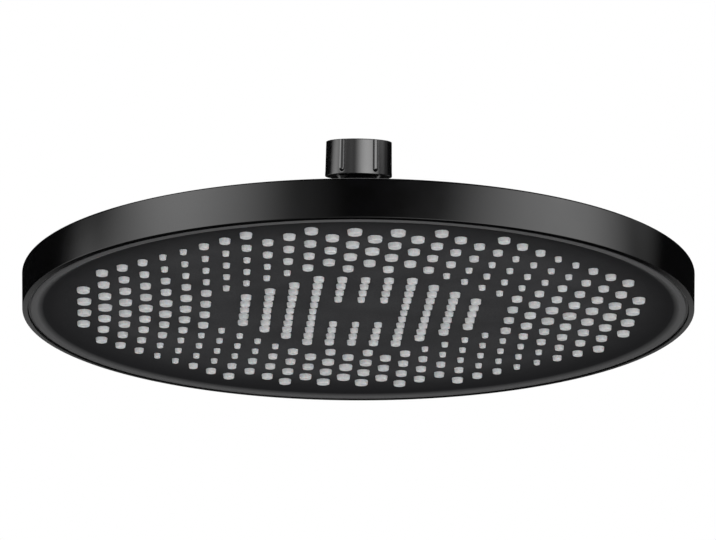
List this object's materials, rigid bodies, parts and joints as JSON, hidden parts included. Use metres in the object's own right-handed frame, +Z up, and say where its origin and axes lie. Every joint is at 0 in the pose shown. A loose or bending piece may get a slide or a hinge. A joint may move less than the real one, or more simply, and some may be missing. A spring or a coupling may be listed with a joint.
{
  "type": "rain shower head",
  "caption": "Round flat rain shower head with silicone nozzles in its face, on a ball-jointed nut that screws onto a half-inch pipe.",
  "frame": {"origin": "on the head's axis, at the lowest circle of the spray face, which the head can stand on", "axes": "+Z up along the head's axis from the spray face to the ball; -Y is the side that the nut leans to; the nozzle rows follow X and Y"},
  "size_m": [0.301, 0.301, 0.0845],
  "materials": {
    "black_abs": "gloss moulded black ABS",
    "charcoal_abs": "fine satin moulded black ABS",
    "grey_silicone": "light grey moulded silicone",
    "black_rubber": "black moulded rubber",
    "inner_abs": "plain moulded ABS",
    "steel": "plain stainless steel",
    "black_brass": "turned brass, plated black",
    "acetal": "moulded acetal",
    "black_nut": "gloss black enamel on brass"
  },
  "bodies": {
    "nut": {"swivel_nut": "black_nut", "inlet_washer": "black_rubber", "filter_screen": "steel"},
    "seat": {"ball_seat": "acetal", "ball_seal": "black_rubber"},
    "head": {"ball_stem": "black_brass", "stem_seal": "black_rubber", "top_housing": "black_abs", "chamber_plate": "inner_abs", "chamber_seal": "black_rubber", "plate_screws": "steel", "spray_face": "charcoal_abs", "spray_nozzles": "grey_silicone"}
  },
  "joints": [
    {"name": "head_turn", "type": "hinge", "parent": "nut", "child": "seat", "pos_m": [0, 0, 0.06795], "axis": [0, -0.2079, 0.9781], "continuous": true},
    {"name": "head_tilt", "type": "hinge", "parent": "seat", "child": "head", "pos_m": [0, 0, 0.06795], "axis": [1, 0, 0], "range_deg": [-3, 27]}
  ]
}
